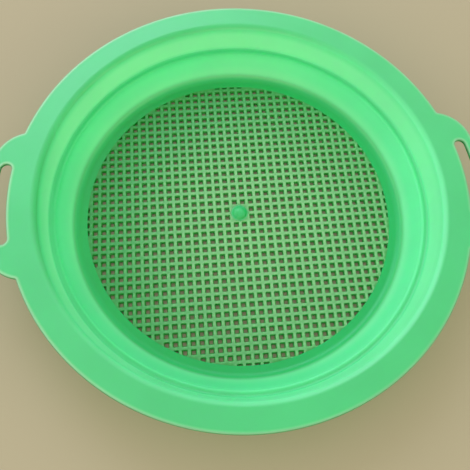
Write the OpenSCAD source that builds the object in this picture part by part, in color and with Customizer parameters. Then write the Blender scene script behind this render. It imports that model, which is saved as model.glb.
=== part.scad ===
// Round sand sieve: a shallow stepped bowl with a flat rim, two loop handles
// and a square mesh floor with a domed centre boss. All sizes in millimetres.
// Origin: centre of the underside, on the surface the sieve stands on.
// +X runs through the two handles, +Z is up.

/* [Rim] */
// Height of the sieve from the ground to the top of the rim
height = 28.5; // [26:0.5:36]
// Outer radius of the flat rim
rim_r = 103.2; // [98:0.2:110]
// Thickness of the rim and the handles
rim_t = 1.8; // [1.4:0.1:2.4]
// Radius of the rounded inner edge of the rim
crest_r = 1.2; // [0.6:0.1:1.6]

/* [Wall] */
// Thickness of the wall
wall_t = 1.8; // [1.4:0.1:2.2]
// Height of the step in the wall above the ground
step_z = 15.2; // [12:0.1:18]
// Width of the step
step_w = 2.7; // [2.2:0.05:3.4]
// Inner radius of the wall at the upper edge of the lower band
step_r = 85.6; // [83:0.05:86.5]
// Outward lean of the upper band of the wall, in degrees from upright
upper_lean = 11.3; // [6:0.1:13]
// Outward lean of the lower band of the wall, in degrees from upright
lower_lean = 28.3; // [20:0.1:34]

/* [Floor] */
// Thickness of the solid ring around the mesh
floor_t = 2.2; // [1.8:0.1:3]
// Radius of the rounded inner corner between floor and wall
corner_r = 4; // [2.5:0.1:4.5]
// Radius of the mesh
mesh_r = 73.8; // [68:0.2:74]

/* [Mesh] */
// Spacing of the mesh bars
pitch = 4; // [3.6:0.1:5]
// Width of a mesh bar
bar_w = 1.7; // [1.2:0.1:2.2]
// Thickness of one layer of bars
bar_t = 0.85; // [0.6:0.05:0.9]
// Gap between the lower bars and the ground
mesh_gap = 0.3; // [0.1:0.05:0.4]

/* [Centre boss] */
// Diameter of the domed boss
boss_d = 7.8; // [6:0.1:9]
// Height of the dome above the mesh
boss_h = 2.2; // [1:0.1:3]

/* [Handles] */
// How far a handle reaches past the rim
handle_reach = 9.2; // [8:0.1:12]
// Half angle of the straight run of the strap, seen from the centre
strap_a = 11.1; // [9.5:0.1:13]
// Radius of the outer corners of a handle
handle_corner_r = 16.8; // [13:0.1:18]
// Width of the slot between rim and strap
slot_w = 4.8; // [4.2:0.1:5.2]
// Half angle of the slot up to its rounded ends
slot_a = 9.1; // [7:0.1:9.2]

/* [Hidden] */
$fn = 96;
green = [0.36, 0.84, 0.50];
dark_green = [0.17, 0.68, 0.32];

// Underside of the rim, and of the step
rim_z = height - rim_t;
ledge_z = step_z - wall_t;

// Inner and outer radius of the upper band at height z
function upper_in(z) = step_r + step_w + (z - step_z) * tan(upper_lean);
function upper_out(z) = upper_in(z) + wall_t / cos(upper_lean);
// Inner and outer radius of the lower band at height z
function lower_in(z) = step_r + (z - step_z) * tan(lower_lean);
function lower_out(z) = lower_in(z) + wall_t / cos(lower_lean);

// Rounded corner between floor and lower band: where it starts and ends
turn = 90 - lower_lean;
corner_len = corner_r * tan(turn / 2);
corner_in = lower_in(floor_t) - corner_len;
corner_top = floor_t + corner_r * (1 - cos(turn));
out_r = corner_r + wall_t;
out_flat = lower_out(0) - out_r * tan(turn / 2);

// Points of an arc about c from angle a to angle b
function arc(c, r, a, b, n) =
    [for (i = [0:n]) c + r * [cos(a + (b - a) * i / n), sin(a + (b - a) * i / n)]];
// The point at radius r and angle a about the origin
function polar(r, a) = [r * cos(a), r * sin(a)];

// Rounded crest of the rim: its centre and the radius of the wall below it
crest_c = [upper_in(height - crest_r) + crest_r, height - crest_r];

// Mesh layers
mesh_top = mesh_gap + 2 * bar_t;
rows = floor((mesh_r - bar_w) / pitch);
pad_w = 2 * pitch - bar_w;

// Handle outline: corner circles that run into the strap's outer edge
strap_r = rim_r + handle_reach;
corner_c = polar(strap_r - handle_corner_r, strap_a);
slot_end_r = slot_w / 2;

module ring(points) {
    rotate_extrude() polygon(points);
}

// Flat rim with a rounded inner edge
module rim_flange() {
    color(green) ring(concat(
        [[upper_in(rim_z), rim_z], [rim_r, rim_z], [rim_r, height]],
        arc(crest_c, crest_r, 90, 180, 6)));
}

// Loop of flat strap beyond the rim, on the +X side
module handle() {
    translate([0, 0, rim_z]) difference() {
        linear_extrude(rim_t) polygon(concat(
            arc([corner_c[0], -corner_c[1]], handle_corner_r, -110, -strap_a, 12),
            arc([0, 0], strap_r, -strap_a * 0.9, strap_a * 0.9, 10),
            arc(corner_c, handle_corner_r, strap_a, 110, 12)));
        translate([0, 0, -1]) cylinder(r = rim_r, h = rim_t + 2, $fn = 180);
        translate([0, 0, -1]) linear_extrude(rim_t + 2) polygon(concat(
            arc([0, 0], rim_r - 0.4, slot_a, -slot_a, 12),
            arc(polar(rim_r + slot_end_r, -slot_a), slot_end_r, 180 - slot_a + 18, 360 - slot_a - 18, 8),
            arc([0, 0], rim_r + slot_w, -slot_a * 0.94, slot_a * 0.94, 12),
            arc(polar(rim_r + slot_end_r, slot_a), slot_end_r, slot_a + 18, 180 + slot_a - 18, 8)));
    }
}

module right_handle() {
    color(green) handle();
}

module left_handle() {
    color(green) rotate([0, 0, 180]) handle();
}

// Upper band of the wall, from the step to the rim
module upper_wall() {
    color(green) ring([
        [upper_in(step_z), step_z], [upper_out(step_z), step_z],
        [upper_out(rim_z), rim_z], [upper_in(rim_z), rim_z]]);
}

// Level step between the two bands
module step_ledge() {
    color(green) ring([
        [lower_in(ledge_z), ledge_z], [upper_out(ledge_z), ledge_z],
        [upper_out(step_z), step_z], [lower_in(step_z), step_z]]);
}

// Lower band of the wall, from the floor's corner to the step
module lower_wall() {
    color(green) ring([
        [lower_in(corner_top), corner_top], [lower_out(corner_top), corner_top],
        [lower_out(ledge_z), ledge_z], [lower_in(ledge_z), ledge_z]]);
}

// Solid ring around the mesh, turning up into the wall
module floor_ring() {
    color(dark_green) ring(concat(
        [[mesh_r, 0]],
        [for (p = arc([out_flat, out_r], out_r, -90, -lower_lean, 8)) if (p[1] < corner_top - 0.2) p],
        [[lower_out(corner_top), corner_top]],
        arc([corner_in, floor_t + corner_r], corner_r, -lower_lean, -90, 8),
        [[mesh_r, floor_t]]));
}

// One layer of parallel bars, trimmed to the mesh circle and around the pad
module bars() {
    difference() {
        intersection() {
            union() for (i = [-rows:rows])
                translate([i * pitch - bar_w / 2, -mesh_r - 1, 0])
                    cube([bar_w, 2 * mesh_r + 2, bar_t]);
            cylinder(r = mesh_r, h = bar_t, $fn = 180);
        }
        translate([-pad_w / 2, -pad_w / 2, -1]) cube([pad_w, pad_w, bar_t + 2]);
    }
}

module mesh_upper_bars() {
    color(green) translate([0, 0, mesh_gap + bar_t]) bars();
}

module mesh_lower_bars() {
    color(green) translate([0, 0, mesh_gap]) rotate([0, 0, 90]) bars();
}

// Solid square in the middle of the mesh that carries the boss
module centre_pad() {
    color(green) translate([-pad_w / 2, -pad_w / 2, mesh_gap])
        cube([pad_w, pad_w, 2 * bar_t]);
}

// Domed boss on the pad
module centre_boss() {
    dome_r = (boss_d * boss_d / 4 + boss_h * boss_h) / (2 * boss_h);
    color(dark_green) translate([0, 0, mesh_top]) intersection() {
        translate([0, 0, boss_h - dome_r]) sphere(r = dome_r);
        cylinder(d = boss_d + 4, h = boss_h + 2);
    }
}

rim_flange();
left_handle();
right_handle();
upper_wall();
step_ledge();
lower_wall();
floor_ring();
mesh_upper_bars();
mesh_lower_bars();
centre_pad();
centre_boss();
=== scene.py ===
import bpy
import math
import numpy as np
from mathutils import Matrix, Vector
from mathutils.geometry import delaunay_2d_cdt


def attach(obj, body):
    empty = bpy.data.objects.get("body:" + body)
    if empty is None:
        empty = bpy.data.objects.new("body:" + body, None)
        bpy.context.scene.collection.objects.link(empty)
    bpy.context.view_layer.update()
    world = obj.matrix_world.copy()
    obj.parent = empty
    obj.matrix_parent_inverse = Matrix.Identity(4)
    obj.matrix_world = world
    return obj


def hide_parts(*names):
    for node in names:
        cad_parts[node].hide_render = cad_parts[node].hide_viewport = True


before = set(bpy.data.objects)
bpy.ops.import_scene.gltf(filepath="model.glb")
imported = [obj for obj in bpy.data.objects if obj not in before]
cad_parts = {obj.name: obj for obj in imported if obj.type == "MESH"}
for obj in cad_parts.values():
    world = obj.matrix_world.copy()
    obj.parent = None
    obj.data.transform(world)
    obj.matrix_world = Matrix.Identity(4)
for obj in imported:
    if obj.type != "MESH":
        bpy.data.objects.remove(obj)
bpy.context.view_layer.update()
MM = 0.001
scene = bpy.context.scene

# ---------------------------------------------------------------- sizes, in millimetres
H = 28.5            # top of the rim
T = 1.8             # wall and rim thickness
RIM = 103.19        # outer radius of the rim
REACH = 9.2         # how far a handle passes the rim
STRAP = RIM + REACH
STRAP_A = 11.1
CORNER = 16.8       # outer corner radius of a handle
SLOT_W = 4.8
SLOT_A = 9.1
STEP_Z = 15.2
STEP_R = 85.6
STEP_W = 2.7
UP = math.tan(math.radians(11.3))
LOW = math.tan(math.radians(28.3))
UPC = math.cos(math.radians(11.3))
LOWC = math.cos(math.radians(28.3))
FLOOR_T = 2.2
MESH_R = 73.8
PITCH = 4.0
BAR_W = 1.7
BAR_T = 0.85
GAP = 0.3
MESH_TOP = GAP + 2 * BAR_T
EDGE = 0.75         # rounding of the rim's outer edge
NTH = 360           # steps round the bowl


def upper_in(z):
    return STEP_R + STEP_W + (z - STEP_Z) * UP


def upper_out(z):
    return upper_in(z) + T / UPC


def lower_in(z):
    return STEP_R + (z - STEP_Z) * LOW


def lower_out(z):
    return lower_in(z) + T / LOWC


# ---------------------------------------------------------------- outlines and profiles
def arc(c, r, a, b, n):
    """Points of an arc about c from angle a to b in degrees, with the outward direction of each."""
    t = np.radians(np.linspace(a, b, n + 1))
    d = np.c_[np.cos(t), np.sin(t)]
    return np.asarray(c) + r * d, d


def rounded(points):
    """A path through (r, z, fillet) corners. Returns points and right-hand normals, smooth through each fillet."""
    p = [np.array(q[:2], float) for q in points]
    out, nor = [], []
    for i, q in enumerate(points):
        rad = q[2] if len(q) > 2 else 0
        if i == 0 or i == len(points) - 1 or rad == 0:
            d = p[min(i + 1, len(p) - 1)] - p[max(i - 1, 0)]
            d = d / np.linalg.norm(d)
            out.append(p[i])
            nor.append(np.array([d[1], -d[0]]))
            continue
        a = (p[i - 1] - p[i]) / np.linalg.norm(p[i - 1] - p[i])
        b = (p[i + 1] - p[i]) / np.linalg.norm(p[i + 1] - p[i])
        half = math.acos(max(-1, min(1, float(a @ b)))) / 2
        run = rad / math.tan(half)
        mid = (a + b) / np.linalg.norm(a + b)
        c = p[i] + mid * rad / math.sin(half)
        s, e = p[i] + a * run - c, p[i] + b * run - c
        a0, a1 = math.atan2(s[1], s[0]), math.atan2(e[1], e[0])
        turn = (a1 - a0 + math.pi) % (2 * math.pi) - math.pi
        n = max(3, int(math.ceil(abs(math.degrees(turn)) / 9)))
        d_in = -a
        outside = np.array([d_in[1], -d_in[0]])
        sign = 1 if outside @ s > 0 else -1
        for k in range(n + 1):
            t = a0 + turn * k / n
            v = np.array([math.cos(t), math.sin(t)])
            out.append(c + rad * v)
            nor.append(sign * v)
    return np.array(out), np.array(nor)


def dense(pts, nor, step):
    """Adds points along the straight runs of a path, so that no edge is longer than step."""
    o, m = [pts[0]], [nor[0]]
    for i in range(1, len(pts)):
        k = int(np.linalg.norm(pts[i] - pts[i - 1]) // step)
        for j in range(1, k + 1):
            t = j / (k + 1)
            o.append(pts[i - 1] * (1 - t) + pts[i] * t)
            v = nor[i - 1] * (1 - t) + nor[i] * t
            m.append(v / np.linalg.norm(v))
        o.append(pts[i])
        m.append(nor[i])
    return np.array(o), np.array(m)


# ---------------------------------------------------------------- meshes
class Build:
    """Collects points, normals, an edge mark, a glow, a richness and faces, and makes one object of them."""

    def __init__(self):
        self.co, self.no, self.mark, self.glow, self.rich, self.faces = [], [], [], [], [], []

    def add(self, co, no, mark=0.0, glow=0.4, rich=0.0):
        first = len(self.co)
        self.co += [tuple(c) for c in co]
        self.no += [tuple(n) for n in no]
        self.mark += np.broadcast_to(mark, (len(co),)).tolist()
        self.glow += np.broadcast_to(glow, (len(co),)).tolist()
        self.rich += np.broadcast_to(rich, (len(co),)).tolist()
        return np.arange(first, first + len(co))

    def strip(self, a, b, closed=True):
        n = len(a)
        for i in range(n if closed else n - 1):
            j = (i + 1) % n
            self.faces.append((a[i], a[j], b[j], b[i]))

    def make(self, name, own_normals=True):
        co, no = np.array(self.co), np.array(self.no)
        me = bpy.data.meshes.new(name)
        turned = []
        for k in sorted({len(f) for f in self.faces}):
            f = np.array([g for g in self.faces if len(g) == k])
            p = co[f]
            n = sum(np.cross(p[:, i], p[:, (i + 1) % k]) for i in range(k))
            wrong = (n * no[f].sum(1)).sum(1) < 0
            f[wrong] = f[wrong][:, ::-1]
            turned += [tuple(g) for g in f.tolist()]
        me.from_pydata((co * MM).tolist(), [], turned)
        me.update()
        for poly in me.polygons:
            poly.use_smooth = True
        for at, val in (("edge_mark", self.mark), ("glow", self.glow), ("rich", self.rich)):
            me.attributes.new(at, "FLOAT", "POINT").data.foreach_set("value", np.array(val, np.float32))
        if own_normals:
            me.normals_split_custom_set_from_vertices(no.tolist())
        ob = bpy.data.objects.new(name, me)
        bpy.context.scene.collection.objects.link(ob)
        return ob


TH = np.linspace(0, 2 * math.pi, NTH, endpoint=False)
CS = np.c_[np.cos(TH), np.sin(TH)]


def flat_glow(x, y):
    """Tone of the flat rim, with painted light that sways a little round the bowl: lighter and less rich on one side,
    darker and richer on the other.
    """
    turn = np.cos(np.arctan2(y, x) + math.radians(52))
    return 0.41 - 0.025 * turn, -0.1 + 0.3 * turn


def revolve(b, pts, nor, mark, glow):
    """Turns a profile about Z. Returns the rings of vertex numbers."""
    rings = []
    # painted light round the bowl: turn sways the tone to one side, the mask at 184 degrees paints the shadow of the
    # left handle, and front paints shade at the front
    turn = np.cos(TH + math.radians(52))
    left_handle_shadow_mask = np.exp(-((TH - math.radians(184)) / math.radians(25)) ** 2)
    front = np.exp(-((TH - math.radians(268)) / math.radians(32)) ** 2)
    for (r, z), (nr, nz), (m, more), (g, painted_light_sway, painted_handle_shadow, painted_front_shade, rich, drift) in zip(pts, nor, mark, glow):
        rings.append(b.add(np.c_[CS * r, np.full(NTH, z)], np.c_[CS * nr, np.full(NTH, nz)],
                           m + more * turn, g + painted_light_sway * turn - painted_handle_shadow * left_handle_shadow_mask - painted_front_shade * front,
                           rich + drift * turn + 3 * painted_handle_shadow * left_handle_shadow_mask + 7 * painted_front_shade * front))
    for p, q in zip(rings, rings[1:]):
        b.strip(p, q)
    return rings


def inside(poly, pts):
    """Which points lie inside a closed outline."""
    x, y = pts[:, 0], pts[:, 1]
    ok = np.zeros(len(pts), bool)
    q = np.roll(poly, -1, 0)
    for (x0, y0), (x1, y1) in zip(poly, q):
        if y0 != y1:
            hit = ((y0 > y) != (y1 > y)) & (x < (x1 - x0) * (y - y0) / (y1 - y0) + x0)
            ok ^= hit
    return ok


def rim_outline():
    """Outer outline of the rim with both handles, anticlockwise, with outward directions."""
    cc = np.array([math.cos(math.radians(STRAP_A)), math.sin(math.radians(STRAP_A))]) * (STRAP - CORNER)
    fil = 0.9
    # the small fillet in the corner between rim and handle touches both circles
    d = np.linalg.norm(cc)
    r0, r1 = RIM + fil, CORNER + fil
    along = (r0 * r0 - r1 * r1 + d * d) / (2 * d)
    off = math.sqrt(r0 * r0 - along * along)
    u = cc / d
    fc = u * along + np.array([-u[1], u[0]]) * off
    to_rim = math.degrees(math.atan2(-fc[1], -fc[0]))
    to_corner = math.degrees(math.atan2(*(cc - fc)[::-1]))
    root = math.degrees(math.atan2(fc[1], fc[0]))
    end = math.degrees(math.atan2(*(fc - cc)[::-1]))
    half_p, half_n = [], []
    # upper half of the right handle: strap, outer corner, small fillet, then the rim to the top
    for (p, n), flip in ((arc((0, 0), STRAP, 0, STRAP_A, 18), 1),
                         (arc(cc, CORNER, STRAP_A, end, 26), 1),
                         (arc(fc, fil, to_corner % 360, to_rim % 360, 7), -1),
                         (arc((0, 0), RIM, root, 90, 124), 1)):
        half_p.append(p[1:] if half_p else p)
        half_n.append(flip * (n[1:] if half_n else n))
    p, n = np.concatenate(half_p), np.concatenate(half_n)
    q = p[::-1][1:] * [-1, 1]
    m = n[::-1][1:] * [-1, 1]
    p, n = np.concatenate([p, q]), np.concatenate([n, m])
    q = p[::-1][1:-1] * [1, -1]
    m = n[::-1][1:-1] * [1, -1]
    return np.concatenate([p, q]), np.concatenate([n, m])


def slot_outline(side):
    """Outline of a handle's slot, with directions that point out of the plastic, into the slot."""
    mid = RIM + SLOT_W / 2
    parts = []
    a = SLOT_A
    c1 = mid * np.array([math.cos(math.radians(a)), math.sin(math.radians(a))])
    c0 = c1 * [1, -1]
    parts.append(arc((0, 0), RIM + SLOT_W, -a, a, 26))
    parts.append(arc(c1, SLOT_W / 2, a, a + 180, 14))
    pi, ni = arc((0, 0), RIM, a, -a, 26)
    parts.append((pi, -ni))
    parts.append(arc(c0, SLOT_W / 2, 180 - a, 360 - a, 14))
    p = np.concatenate([q[0][:-1] for q in parts])
    n = -np.concatenate([q[1][:-1] for q in parts])
    return p * [side, 1], n * [side, 1]


def edge_loop(b, p, n, z_top, z_bot, rho):
    """Rounded edge of the plate along an outline. Returns its top and bottom loops.
    The margin of the top face carries a pale painted highlight and the side is painted deeper green as painted shade."""
    # painted highlight: the pale line along the top margin is stronger towards one side
    painted_edge_highlight = 0.50 + 0.15 * np.cos(np.arctan2(p[:, 1], p[:, 0]) - math.radians(130))
    rings = []
    for back, m, g in ((1.05, 0.0, 0.40), (0.6, 0.40, 0.27), (0.2, 0.85, 0.09)):
        q = p - n * (rho + back)
        flat, rich = flat_glow(*q.T)
        g = np.full(len(q), g) if m else flat
        rings.append(b.add(np.c_[q, np.full(len(q), z_top)], np.tile([0, 0, 1], (len(q), 1)), m * painted_edge_highlight, g, rich))
    for zc, a0, a1 in ((z_top - rho, 90, 0), (z_bot + rho, 0, -90)):
        for t in np.radians(np.linspace(a0, a1, 9)):
            q = p + n * rho * (math.cos(t) - 1)
            co = np.c_[q, np.full(len(q), zc + rho * math.sin(t))]
            no = np.c_[n * math.cos(t), np.full(len(q), math.sin(t))]
            deg = math.degrees(t)
            m = float(np.interp(deg, (10, 45, 70, 90), (0.0, 0.35, 0.95, 1.0)))
            g = float(np.interp(deg, (-90, -60, -10, 30, 60, 90), (0.40, 0.15, 0.0, 0.0, 0.01, 0.04)))
            rings.append(b.add(co, no, m * painted_edge_highlight, g))
    for i, j in zip(rings, rings[1:]):
        b.strip(i, j)
    return rings[0], rings[-1]


def plate_face(b, z, up, inner, loops):
    """Fills one flat face of the plate between the inner circle and the edge loops."""
    inner_xy = np.array([b.co[i][:2] for i in inner])
    outer_xy = np.array([b.co[i][:2] for i in loops[0]])
    holes = [np.array([b.co[i][:2] for i in l]) for l in loops[1:]]
    ids = list(inner) + [i for l in loops for i in l]
    xy = [Vector(b.co[i][:2]) for i in ids]
    edges, at = [], 0
    for l in [inner] + list(loops):
        k = len(l)
        edges += [(at + i, at + (i + 1) % k) for i in range(k)]
        at += k
    # rows of points between the loops keep the triangles even
    extra = []
    r_in = np.hypot(*inner_xy[0])
    for i, r in enumerate(np.linspace(r_in + 2.4, RIM - 3.2, 3)):
        for t in np.linspace(0, 2 * math.pi, 270, endpoint=False):
            a = t + (i % 2) * math.pi / 270
            extra.append((r * math.cos(a), r * math.sin(a)))
    for s in (1, -1):
        for r in (RIM - 0.2, RIM + 2.2, RIM + 4.4, RIM + 6.6):
            for a in np.radians(np.arange(-19, 19.1, 1.25)):
                extra.append((s * r * math.cos(a), r * math.sin(a)))
    extra = np.array(extra)
    keep = inside(outer_xy, extra)
    for h in holes:
        keep &= ~inside(h, extra)
    far = np.ones(len(extra), bool)
    loop_pts = np.concatenate([inner_xy, outer_xy] + holes)
    for i, e in enumerate(extra):
        far[i] = np.min(np.hypot(*(loop_pts - e).T)) > 0.9
    extra = extra[keep & far]
    new = b.add(np.c_[extra, np.full(len(extra), z)], np.tile([0, 0, up], (len(extra), 1)), 0.0, *flat_glow(*extra.T))
    ids += list(new)
    xy += [Vector(e) for e in extra]
    vs, _, tris, orig, _, _ = delaunay_2d_cdt(xy, edges, [], 0, 1e-5)
    back = [o[0] for o in orig]
    pts = np.array([v[:2] for v in vs])
    mid = np.array([pts[list(t)].mean(0) for t in tris])
    ok = inside(outer_xy, mid) & ~inside(inner_xy, mid)
    for h in holes:
        ok &= ~inside(h, mid)
    for t, k in zip(tris, ok):
        if k:
            b.faces.append(tuple(ids[back[v]] for v in t))


# inner and outer faces of the bowl as corner paths, from the rim down and back up
CREST = 2.8         # rounding between the rim and the wall
INNER = [(upper_in(H) + 3.4, H), (upper_in(H), H, CREST), (upper_in(STEP_Z), STEP_Z, 1.4),
         (lower_in(STEP_Z), STEP_Z, 1.5), (lower_in(FLOOR_T), FLOOR_T, 4.0), (MESH_R, MESH_TOP + 0.02, 0.05),
         (MESH_R, 0.0, 0.35), (lower_out(0), 0.0, 5.8), (lower_out(STEP_Z - T), STEP_Z - T, 0.9),
         (upper_out(STEP_Z - T), STEP_Z - T, 1.5), (upper_out(H - T), H - T, 1.3),
         (upper_out(H - T) + 3.0, H - T)]


def glow_of(pts, nor):
    """Painted light and shade along the profile: how much light seems to come through each place, thin walls most,
    thick corners least, and the floor ring least of all, as painted shade where it sits on the floor.
    Also a painted sway of light and shade round the bowl, lighter on one side and darker on the other, a painted shadow
    of the left handle on the wall below it, and a painted shade at the front.
    Also a pale painted highlight where the foot of the wall begins to turn, and a faint one on the crest."""
    cut = int(np.argmin(np.hypot(pts[:, 0] - MESH_R, pts[:, 1] - FLOOR_T / 2)))
    glow, mark = [], []
    for i, ((r, z), n) in enumerate(zip(pts, nor)):
        painted_light_sway = painted_handle_shadow = painted_front_shade = painted_highlight = more = rich = drift = 0.0
        if z > H - 0.01 and i < cut:
            v, painted_light_sway, rich, drift = 0.41, -0.025, -0.1, 0.3
        elif z > H - 2.35 and i < cut:
            tilt = math.degrees(math.acos(min(1.0, max(0.0, n[1]))))
            v = np.interp(tilt, (0, 20, 45, 65, 79), (0.41, 0.44, 0.50, 0.59, 0.74))
            painted_light_sway = np.interp(tilt, (0, 20, 45, 65, 79), (-0.025, 0.06, 0.14, 0.17, 0.16))
            painted_handle_shadow = np.interp(tilt, (20, 79), (0.0, 0.20))
            painted_highlight = more = np.interp(tilt, (5, 25, 55, 79), (0.0, 0.05, 0.04, 0.0))
            rich, drift = (np.interp(tilt, (0, 30, 50, 65, 79), x) for x in ((-0.1, -0.1, -0.1, -0.35, -0.4), (0.3, -0.5, -0.5, 0.1, 0.5)))
        elif z > STEP_Z + 0.45:
            v = np.interp(z, (STEP_Z + 0.45, STEP_Z + 1.5, H - 5.0, H - 2.3), (0.55, 0.99, 0.98, 0.74))
            painted_light_sway = np.interp(z, (STEP_Z + 0.45, STEP_Z + 1.5, H - 7.0, H - 4.5, H - 2.3), (0.03, 0.0, 0.0, 0.03, 0.16))
            painted_front_shade = np.interp(z, (STEP_Z + 0.45, STEP_Z + 1.5, H - 4.0, H - 2.3), (0.0, 0.12, 0.12, 0.04))
            painted_handle_shadow = np.interp(z, (STEP_Z + 2.0, STEP_Z + 5.0, H - 4.5, H - 2.3), (0.0, 0.10, 0.22, 0.20))
            rich, drift = np.interp(z, (H - 4.5, H - 2.3), (-0.1, -0.4)), 0.5
            if r > upper_in(H) + 1.4:
                v = 0.40
        elif z > STEP_Z - 0.35 and i < cut:
            v = np.interp(r, (STEP_R - 0.2, STEP_R + 0.6, STEP_R + 1.3, STEP_R + STEP_W), (0.53, 0.52, 0.49, 0.485))
            painted_light_sway = np.interp(r, (STEP_R - 0.2, STEP_R + 0.6, STEP_R + 1.3), (0.09, 0.07, 0.01))
            rich = np.interp(r, (STEP_R, STEP_R + STEP_W), (0.45, 0.2))
            drift = -0.65
        else:
            v = np.interp(z, (FLOOR_T, 3.0, 4.4, 6.0, 9.0, STEP_Z - 2.0, STEP_Z - 0.9, STEP_Z - 0.35), (0.105, 0.15, 0.42, 0.66, 0.67, 0.66, 0.64, 0.54))
            painted_light_sway = np.interp(z, (FLOOR_T, 4.0, STEP_Z - 3.0, STEP_Z - 0.5), (0.04, 0.0, 0.0, 0.08))
            painted_front_shade = np.interp(z, (4.0, 6.0, STEP_Z - 2.0, STEP_Z - 0.5), (0.0, 0.05, 0.05, 0.0))
            rich = np.interp(z, (4.2, 6.0, STEP_Z - 5.0, STEP_Z - 2.5, STEP_Z - 0.4), (0.3, 0.0, 0.0, 0.2, 0.45))
            drift = np.interp(z, (4.2, 6.0, STEP_Z - 5.0, STEP_Z - 2.5, STEP_Z - 0.4), (0.3, 0.0, 0.0, -0.35, -0.65))
        if z < STEP_Z:
            painted_highlight = np.interp(z, (3.0, 4.6, 6.0, 7.6, 9.5), (0.0, 0.17, 0.19, 0.10, 0.0))
            more = 0.2 * painted_highlight
        on = 1.0 if i < cut else 0.0
        glow.append((float(v), *(on * float(x) for x in (painted_light_sway, painted_handle_shadow, painted_front_shade, rich, drift))))
        mark.append((on * float(painted_highlight), on * float(more)))
    return mark, glow


bowl = Build()
pts, nor = rounded(INNER)
pts, nor = dense(pts, nor, 0.9)
rings = revolve(bowl, pts, nor, *glow_of(pts, nor))
op, on = rim_outline()
loops = [edge_loop(bowl, op, on, H, H - T, EDGE)]
for side in (1, -1):
    sp, sn = slot_outline(side)
    loops.append(edge_loop(bowl, sp, sn, H, H - T, EDGE))
plate_face(bowl, H, 1, rings[0], [l[0] for l in loops])
plate_face(bowl, H - T, -1, rings[-1], [l[1] for l in loops])
bowl_ob = bowl.make("sieve_bowl")


# ---------------------------------------------------------------- mesh and boss
HOLE = (PITCH - BAR_W) / 2
CLIP = MESH_R - 0.12       # the openings end just short of the ring
GRID_R = MESH_R + 0.75     # the mesh reaches this far into the ring


def square_hole():
    """Rounded square opening about the origin, anticlockwise, with directions into the plastic."""
    c, r = HOLE - 0.32, 0.32
    p, n = [], []
    for sx, sy, a in ((1, 1, 0), (-1, 1, 90), (-1, -1, 180), (1, -1, 270)):
        q, d = arc((sx * c, sy * c), r, a, a + 90, 2)
        p.append(q)
        n.append(d)
    return np.concatenate(p), np.concatenate(n)


def clip_hole(p):
    """The part of an opening inside the mesh circle, or None."""
    mid = math.atan2(*p.mean(0)[::-1])
    for a in np.linspace(mid - 0.05, mid + 0.05, 15):
        u = np.array([math.cos(a), math.sin(a)])
        d = p @ u - CLIP
        out = []
        for k in range(len(p)):
            m = (k + 1) % len(p)
            if d[k] <= 0:
                out.append(p[k])
            if (d[k] <= 0) != (d[m] <= 0):
                t = d[k] / (d[k] - d[m])
                out.append(p[k] * (1 - t) + p[m] * t)
        if len(out) < 3:
            return None
        p = np.array(out)
    keep = [k for k in range(len(p)) if np.linalg.norm(p[k] - p[k - 1]) > 0.04]
    p = p[keep]
    q = np.roll(p, -1, 0)
    area = 0.5 * np.sum(p[:, 0] * q[:, 1] - q[:, 0] * p[:, 1])
    round_it = np.linalg.norm(q - p, axis=1).sum()
    return p if len(p) >= 3 and 2 * area / round_it > 0.26 else None


def outline_normals(p):
    """Directions out of a convex outline at its points, long enough to shift its sides evenly."""
    e = np.roll(p, -1, 0) - p
    e /= np.linalg.norm(e, axis=1)[:, None]
    n = np.c_[e[:, 1], -e[:, 0]]
    m = n + np.roll(n, 1, 0)
    m /= np.linalg.norm(m, axis=1)[:, None]
    return m / np.maximum((m * n).sum(1), 0.6)[:, None]


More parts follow.
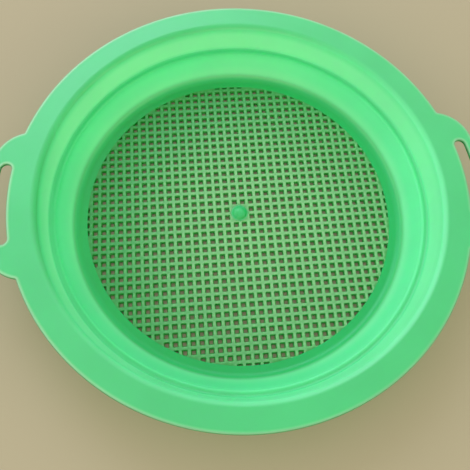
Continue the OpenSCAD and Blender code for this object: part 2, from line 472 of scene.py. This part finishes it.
def mesh_grid(name):
    """The mesh: one flush plate of crossing bars with rounded edges round every opening."""
    top, bot = MESH_TOP, GAP
    rows = int((MESH_R - BAR_W) // PITCH)
    base_p, base_n = square_hole()
    holes = []
    for i in range(-rows - 1, rows + 1):
        for j in range(-rows - 1, rows + 1):
            if i in (-1, 0) and j in (-1, 0):
                continue        # the pad under the boss is solid
            c = np.array([(i + 0.5) * PITCH, (j + 0.5) * PITCH])
            if np.hypot(*(np.abs(c) + HOLE)) < CLIP:
                holes.append((base_p + c, base_n))
            elif np.hypot(*np.maximum(np.abs(c) - HOLE, 0)) < CLIP:
                q = clip_hole(base_p + c)
                if q is not None:
                    holes.append((q, outline_normals(q)))
    # edge of an opening: from the top face round into the hole, down its sloping side and to the lower face
    # prof holds the edge's profile; shade and the last list are painted shade inside the openings, darker and deeper
    # green down the sides
    prof, shade, painted_hole_shade = [], [], []
    draft = math.radians(19)
    for t in np.radians(np.linspace(90, 19, 4)):
        prof.append((0.08 + 0.42 * (1 - math.cos(t)), top - 0.42 + 0.42 * math.sin(t), math.cos(t), math.sin(t)))
        shade.append(0.32 + 0.68 * math.sin(t))
        painted_hole_shade.append(max(0.0, 0.9 - 1.5 * math.sin(t)))
    d = prof[-1][0] - (prof[-1][1] - bot - 0.15 - 0.15 * math.sin(draft)) * math.tan(draft)
    for t in np.radians(np.linspace(19, -90, 3)):
        prof.append((d + 0.15 * (math.cos(draft) - math.cos(t)), bot + 0.15 + 0.15 * math.sin(t), math.cos(t), math.sin(t)))
        shade.append(0.36 + 0.2 * abs(math.sin(t)))
        painted_hole_shade.append(0.75)
    co, no, glow, mark, faces = [], [], [], [], []
    at = 0
    tops, bots = [], []
    for p, n in holes:
        k = len(p)
        unit = n / np.linalg.norm(n, axis=1)[:, None]
        mid = p.mean(0)
        for d, z, side, rise in prof:
            # a cut opening narrows towards its middle, a whole one evenly
            q = p + n * d if d > 0 or n is base_n else mid + (p - mid) * (1 + d / max(0.55, np.hypot(*(p - mid).T).mean()))
            co.append(np.c_[q, np.full(k, z)])
            no.append(np.c_[-unit * side, np.full(k, rise)])
        # painted shade: the mesh is darker towards its edge, most on one side, as if shaded by the walls
        turn = np.cos(np.arctan2(p[:, 1], p[:, 0]) + math.radians(39))
        painted_wall_shade = 1 - (0.426 - 0.366 * turn) * (np.hypot(p[:, 0], p[:, 1]) / MESH_R) ** 2
        glow += [v * painted_wall_shade for v in shade]
        # a narrow cut opening gets less painted shade on its sides than a whole one
        e = np.roll(p, -1, 0)
        wide = abs(np.sum(p[:, 0] * e[:, 1] - e[:, 0] * p[:, 1])) / np.linalg.norm(e - p, axis=1).sum()
        mark += [np.full(k, v * min(1.0, wide / 1.05)) for v in painted_hole_shade]
        ring = at + np.arange(k)
        nxt = np.roll(ring, -1)
        for s in range(len(prof) - 1):
            faces.append(np.c_[ring + s * k, nxt + s * k, nxt + (s + 1) * k, ring + (s + 1) * k])
        tops.append(ring)
        bots.append(ring + (len(prof) - 1) * k)
        at += len(prof) * k
    circ = arc((0, 0), GRID_R, 0, 360, 240)[0][:-1]
    co += [np.c_[circ, np.full(240, top)], np.c_[circ, np.full(240, bot)]]
    no += [np.tile([0, 0, 1], (240, 1)), np.tile([0, 0, -1], (240, 1))]
    # the mesh is painted deeper in tone where it runs into the ring, as painted shade that meets the ring's, and a
    # little deeper on the pad
    glow += [np.full(240, 0.25), np.full(240, 0.4)]
    mark += [np.full(240, 0.95), np.zeros(240)]
    rim = at + np.arange(240)
    pad_xy = np.r_[arc((0, 0), 4.4, 0, 360, 16)[0][:-1], [[0.0, 0.0]]]
    pad = at + 480 + np.arange(len(pad_xy))
    co.append(np.c_[pad_xy, np.full(len(pad_xy), top)])
    no.append(np.tile([0, 0, 1], (len(pad_xy), 1)))
    glow.append(np.full(len(pad_xy), 0.72))
    mark.append(np.full(len(pad_xy), 0.10))
    faces.append(np.c_[rim, rim + 240, np.roll(rim, -1) + 240, np.roll(rim, -1)])
    co, no = np.concatenate(co), np.concatenate(no)
    # flat upper and lower faces between the openings
    tris = []
    for loops, z_up, free in ((tops + [rim], 1, pad), (bots + [rim + 240], -1, pad[:0])):
        ids = np.concatenate(loops + [free])
        edges, k0 = [], 0
        for l in loops:
            k = len(l)
            edges += [(k0 + i, k0 + (i + 1) % k) for i in range(k)]
            k0 += k
        owner = np.concatenate([np.full(len(l), i) for i, l in enumerate(loops)] + [np.full(len(free), len(loops) - 1)])
        vs, _, tri, orig, _, _ = delaunay_2d_cdt([Vector(co[i][:2]) for i in ids], edges, [], 0, 1e-6)
        back = np.array([o[0] for o in orig])
        tri = back[np.array([t[:] for t in tri])]
        own = owner[tri]
        last = len(loops) - 1
        ok = ~((own[:, 0] == own[:, 1]) & (own[:, 1] == own[:, 2]) & (own[:, 0] != last))
        tri = ids[tri[ok]]
        p, q, r = (co[tri[:, k]][:, :2] for k in range(3))
        turn = (q - p)[:, 0] * (r - p)[:, 1] - (q - p)[:, 1] * (r - p)[:, 0]
        flip = turn * z_up < 0
        tri[flip] = tri[flip][:, ::-1]
        tris.append(tri)
    quads = np.concatenate(faces)
    me = bpy.data.meshes.new(name)
    me.from_pydata((co * MM).tolist(), [], [tuple(f) for f in quads.tolist()] + [tuple(f) for t in tris for f in t.tolist()])
    me.update()
    me.shade_smooth()
    for at, val in (("edge_mark", mark), ("glow", glow)):
        me.attributes.new(at, "FLOAT", "POINT").data.foreach_set("value", np.concatenate(val).astype(np.float32))
    me.normals_split_custom_set_from_vertices(no.tolist())
    ob = bpy.data.objects.new(name, me)
    scene.collection.objects.link(ob)
    return ob


grid_ob = mesh_grid("mesh_grid")

# domed boss: a cap of a sphere that runs out into the pad in a small hollow fillet
boss = Build()
CAP_R, CAP_H = 3.65, 2.05
ball = (CAP_R ** 2 + CAP_H ** 2) / (2 * CAP_H)
prof, pn = [], []
low = math.degrees(math.asin((ball - CAP_H + 0.45) / ball))
for t in np.radians(np.linspace(88, low, 14)):
    d = np.array([math.cos(t), math.sin(t)])
    prof.append(np.array([0, MESH_TOP + CAP_H - ball]) + ball * d)
    pn.append(d)
end, en = prof[-1], pn[-1]
rho = (end[1] - MESH_TOP + 0.02) / (1 - en[1])
cen = end + rho * en
for t in np.linspace(math.atan2(-en[1], -en[0]), -math.pi / 2, 6)[1:]:
    d = np.array([math.cos(t), math.sin(t)])
    prof.append(cen + rho * d)
    pn.append(-d)
prof.append(np.array([prof[-1][0], MESH_TOP - 0.6]))
pn.append(np.array([1.0, 0.0]))
n_b = 64
th = np.linspace(0, 2 * math.pi, n_b, endpoint=False)
cs = np.c_[np.cos(th), np.sin(th)]
rings = []
for (r, z), (nr, nz) in zip(prof, pn):
    # painted highlight on the top of the dome, painted shade towards its rim and more on one side
    painted_dome_shading = 0.27 - 0.16 * min(1.0, r / CAP_R) ** 2 - 0.10 * min(1.0, r / CAP_R) * np.cos(th + math.pi / 4)
    foot = float(np.interp(r, (3.3, 4.3), (0.0, 1.0)))
    rings.append(boss.add(np.c_[cs * r, np.full(n_b, z)], np.c_[cs * nr, np.full(n_b, nz)], 0.10 * foot, painted_dome_shading * (1 - foot) + 0.28 * foot))
for a, c in zip(rings, rings[1:]):
    boss.strip(a, c)
tip = boss.add([(0, 0, MESH_TOP + CAP_H)], [(0, 0, 1)], 0.0, 0.26)[0]
foot = boss.add([(0, 0, MESH_TOP - 0.6)], [(0, 0, -1)])[0]
for k in range(n_b):
    m = (k + 1) % n_b
    boss.faces.append((tip, rings[0][k], rings[0][m]))
    boss.faces.append((foot, rings[-1][k], rings[-1][m]))
boss_ob = boss.make("centre_boss_look")


# ---------------------------------------------------------------- materials
def plastic(name, stops, pale, rough, scale, pitch=None):
    """Translucent moulded plastic. stops are its colours from the least to the most light of the glow attribute, which
    carries painted light and shade.
    """
    m = bpy.data.materials.new(name)
    m.use_nodes = True
    nt = m.node_tree
    p = nt.nodes["Principled BSDF"]
    co = nt.nodes.new("ShaderNodeTexCoord")
    big = nt.nodes.new("ShaderNodeTexNoise")
    big.inputs["Scale"].default_value = 38.0
    big.inputs["Detail"].default_value = 3.0
    nt.links.new(co.outputs["Object"], big.inputs["Vector"])
    fine = nt.nodes.new("ShaderNodeTexNoise")
    fine.inputs["Scale"].default_value = 1500.0
    fine.inputs["Detail"].default_value = 2.0
    nt.links.new(co.outputs["Object"], fine.inputs["Vector"])
    # the colour follows the glow attribute, the painted light and shade of each place
    tone = nt.nodes.new("ShaderNodeValToRGB")
    ramp = tone.color_ramp
    ramp.elements[0].position, ramp.elements[0].color = stops[0][0], (*stops[0][1], 1)
    ramp.elements[1].position, ramp.elements[1].color = stops[-1][0], (*stops[-1][1], 1)
    for at, c in stops[1:-1]:
        ramp.elements.new(at).color = (*c, 1)
    glow = nt.nodes.new("ShaderNodeAttribute")
    glow.attribute_name = "glow"
    fac = glow.outputs["Fac"]
    if pitch:
        # bars let more light through between the crossings than at them
        sep = nt.nodes.new("ShaderNodeSeparateXYZ")
        nt.links.new(co.outputs["Object"], sep.inputs[0])
        run = nt.nodes.new("ShaderNodeMath")
        run.operation = "MAXIMUM"
        for k in (0, 1):
            wave = nt.nodes.new("ShaderNodeMath")
            wave.operation = "PINGPONG"
            wave.inputs[1].default_value = pitch / 2
            nt.links.new(sep.outputs[k], wave.inputs[0])
            part = nt.nodes.new("ShaderNodeMath")
            part.operation = "MULTIPLY"
            part.inputs[1].default_value = (0.72, 1.0)[k]
            nt.links.new(wave.outputs[0], part.inputs[0])
            nt.links.new(part.outputs[0], run.inputs[k])
        lift = nt.nodes.new("ShaderNodeMapRange")
        lift.inputs["From Max"].default_value = pitch / 2
        lift.inputs["To Min"].default_value = -0.19
        lift.inputs["To Max"].default_value = 0.10
        nt.links.new(run.outputs[0], lift.inputs["Value"])
        more = nt.nodes.new("ShaderNodeMath")
        nt.links.new(fac, more.inputs[0])
        nt.links.new(lift.outputs["Result"], more.inputs[1])
        fac = more.outputs[0]
    nt.links.new(fac, tone.inputs["Fac"])
    # edge_mark mixes in the second colour: pale painted highlights on the bowl, deep painted shade in the mesh openings
    mark = nt.nodes.new("ShaderNodeAttribute")
    mark.attribute_name = "edge_mark"
    edge = nt.nodes.new("ShaderNodeMix")
    edge.data_type = "RGBA"
    nt.links.new(mark.outputs["Fac"], edge.inputs[0])
    nt.links.new(tone.outputs["Color"], edge.inputs[6])
    edge.inputs[7].default_value = (*pale, 1)
    # a slight drift of the colour from the flow of the plastic
    drift = nt.nodes.new("ShaderNodeMapRange")
    drift.inputs["From Min"].default_value = 0.3
    drift.inputs["From Max"].default_value = 0.7
    drift.inputs["To Min"].default_value = 0.97
    drift.inputs["To Max"].default_value = 1.03
    nt.links.new(big.outputs["Fac"], drift.inputs["Value"])
    hsv = nt.nodes.new("ShaderNodeHueSaturation")
    nt.links.new(drift.outputs["Result"], hsv.inputs["Value"])
    rich = nt.nodes.new("ShaderNodeAttribute")
    rich.attribute_name = "rich"
    full = nt.nodes.new("ShaderNodeMath")
    full.operation = "MULTIPLY_ADD"
    full.inputs[1].default_value = 0.06
    full.inputs[2].default_value = 1.0
    nt.links.new(rich.outputs["Fac"], full.inputs[0])
    nt.links.new(full.outputs[0], hsv.inputs["Saturation"])
    nt.links.new(edge.outputs[2], hsv.inputs["Color"])
    nt.links.new(hsv.outputs["Color"], p.inputs["Base Color"])
    rg = nt.nodes.new("ShaderNodeMapRange")
    rg.inputs["From Min"].default_value = 0.3
    rg.inputs["From Max"].default_value = 0.7
    rg.inputs["To Min"].default_value = rough - 0.04
    rg.inputs["To Max"].default_value = rough + 0.04
    nt.links.new(big.outputs["Fac"], rg.inputs["Value"])
    nt.links.new(rg.outputs["Result"], p.inputs["Roughness"])
    bump = nt.nodes.new("ShaderNodeBump")
    bump.inputs["Strength"].default_value = 0.08
    bump.inputs["Distance"].default_value = 0.0001
    nt.links.new(fine.outputs["Fac"], bump.inputs["Height"])
    nt.links.new(bump.outputs["Normal"], p.inputs["Normal"])
    p.inputs["IOR"].default_value = 1.49
    p.inputs["Subsurface Weight"].default_value = 1.0
    p.inputs["Subsurface Radius"].default_value = (0.7, 1.0, 0.8)
    p.inputs["Subsurface Scale"].default_value = scale
    return m


PAINTED_LIGHT_STOPS = ((0.0, (0.008, 0.22, 0.038)), (0.08, (0.006, 0.48, 0.095)), (0.15, (0.022, 0.52, 0.14)), (0.30, (0.055, 0.575, 0.17)), (0.4, (0.084, 0.595, 0.208)),
            (0.52, (0.098, 0.72, 0.27)), (0.66, (0.14, 0.81, 0.34)), (1.0, (0.25, 0.885, 0.425)))
green = plastic("green_plastic", PAINTED_LIGHT_STOPS, (0.52, 0.85, 0.54), 0.34, 0.0010)
mesh_green = plastic("mesh_plastic", ((0.0, (0.010, 0.27, 0.035)), (0.5, (0.075, 0.41, 0.11)), (1.0, (0.255, 0.57, 0.23))), (0.035, 0.39, 0.042), 0.42, 0.0010, PITCH * MM)
boss_green = plastic("boss_plastic", PAINTED_LIGHT_STOPS, (0.52, 0.85, 0.54), 0.34, 0.0004)
bowl_ob.data.materials.append(green)
boss_ob.data.materials.append(boss_green)
grid_ob.data.materials.append(mesh_green)

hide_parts("rim_flange", "left_handle", "right_handle", "upper_wall", "step_ledge", "lower_wall", "floor_ring")
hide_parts("mesh_upper_bars", "mesh_lower_bars", "centre_pad")
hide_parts("centre_boss")
for ob, slot in ((bowl_ob, "green_plastic"), (grid_ob, "mesh_plastic"), (boss_ob, "green_plastic")):
    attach(ob, "root")

# ---------------------------------------------------------------- floor, lights and camera
me = bpy.data.meshes.new("floor")
s = 4.0
me.from_pydata([(-s, -s, -0.0001), (s, -s, -0.0001), (s, s, -0.0001), (-s, s, -0.0001)], [], [(0, 1, 2, 3)])
floor = bpy.data.objects.new("floor", me)
bpy.context.scene.collection.objects.link(floor)
fm = bpy.data.materials.new("floor_pale")
fm.use_nodes = True
fp = fm.node_tree.nodes["Principled BSDF"]
fp.inputs["Base Color"].default_value = (0.43, 0.385, 0.235, 1)
fp.inputs["Roughness"].default_value = 0.9
fp.inputs["Specular IOR Level"].default_value = 0.1
me.materials.append(fm)

scene.view_settings.view_transform = "Standard"
scene.view_settings.look = "None"
scene.cycles.use_denoising = True
scene.cycles.max_bounces = 16
scene.cycles.diffuse_bounces = 12
world = bpy.data.worlds.new("studio")
scene.world = world
world.use_nodes = True
bg = world.node_tree.nodes["Background"]
bg.inputs["Color"].default_value = (1.0, 0.98, 1.0, 1)
bg.inputs["Strength"].default_value = 0.88


def area(name, loc, target, size, power, colour):
    light = bpy.data.lights.new(name, "AREA")
    light.shape = "RECTANGLE"
    light.size, light.size_y = size
    light.energy = power
    light.color = colour
    ob = bpy.data.objects.new(name, light)
    ob.location = loc
    ob.rotation_euler = (Vector(target) - Vector(loc)).to_track_quat("-Z", "Y").to_euler()
    scene.collection.objects.link(ob)
    return ob


def lamp(name, az, el, size, strength, colour):
    """A soft box seen from the object at an azimuth (0 behind it, 90 to its right) and an elevation."""
    a, e = math.radians(az), math.radians(el)
    d = 1.65
    loc = (d * math.sin(a) * math.cos(e), d * math.cos(a) * math.cos(e), d * math.sin(e))
    return area(name, loc, (0, 0, 0.01), size, strength * math.pi * size[0] * size[1], colour)


lamp("key", -14, 42, (1.0, 0.75), 2.25, (0.84, 0.98, 1.42))
lamp("side", -50, 20, (1.2, 0.6), 1.15, (0.85, 0.92, 1.5))
lamp("left", -90, 22, (1.2, 0.6), 1.75, (1.08, 0.95, 1.02))
lamp("front", 190, 20, (1.6, 0.7), 1.5, (1.4, 0.92, 0.72))
lamp("right", 120, 20, (1.2, 0.6), 1.7, (1.2, 1.08, 0.65))

cam = bpy.data.cameras.new("camera")
cam.sensor_width = 36.0
cam.lens = 548.90 / 470 * 36.0
cam.clip_start = 0.005
cam_ob = bpy.data.objects.new("camera", cam)
right = Vector((0.99596879, -0.08148407, 0.03750346))
up = Vector((0.06272066, 0.93151472, 0.35825472))
back = right.cross(up).normalized()
up = back.cross(right).normalized()
rot = Matrix((right, up, back)).transposed().to_4x4()
cam_ob.matrix_world = Matrix.Translation(Vector((-5.04527, -26.39201, 61.90318)) * 0.004 + Vector((0, 0, MESH_TOP * MM))) @ rot
scene.collection.objects.link(cam_ob)
scene.camera = cam_ob
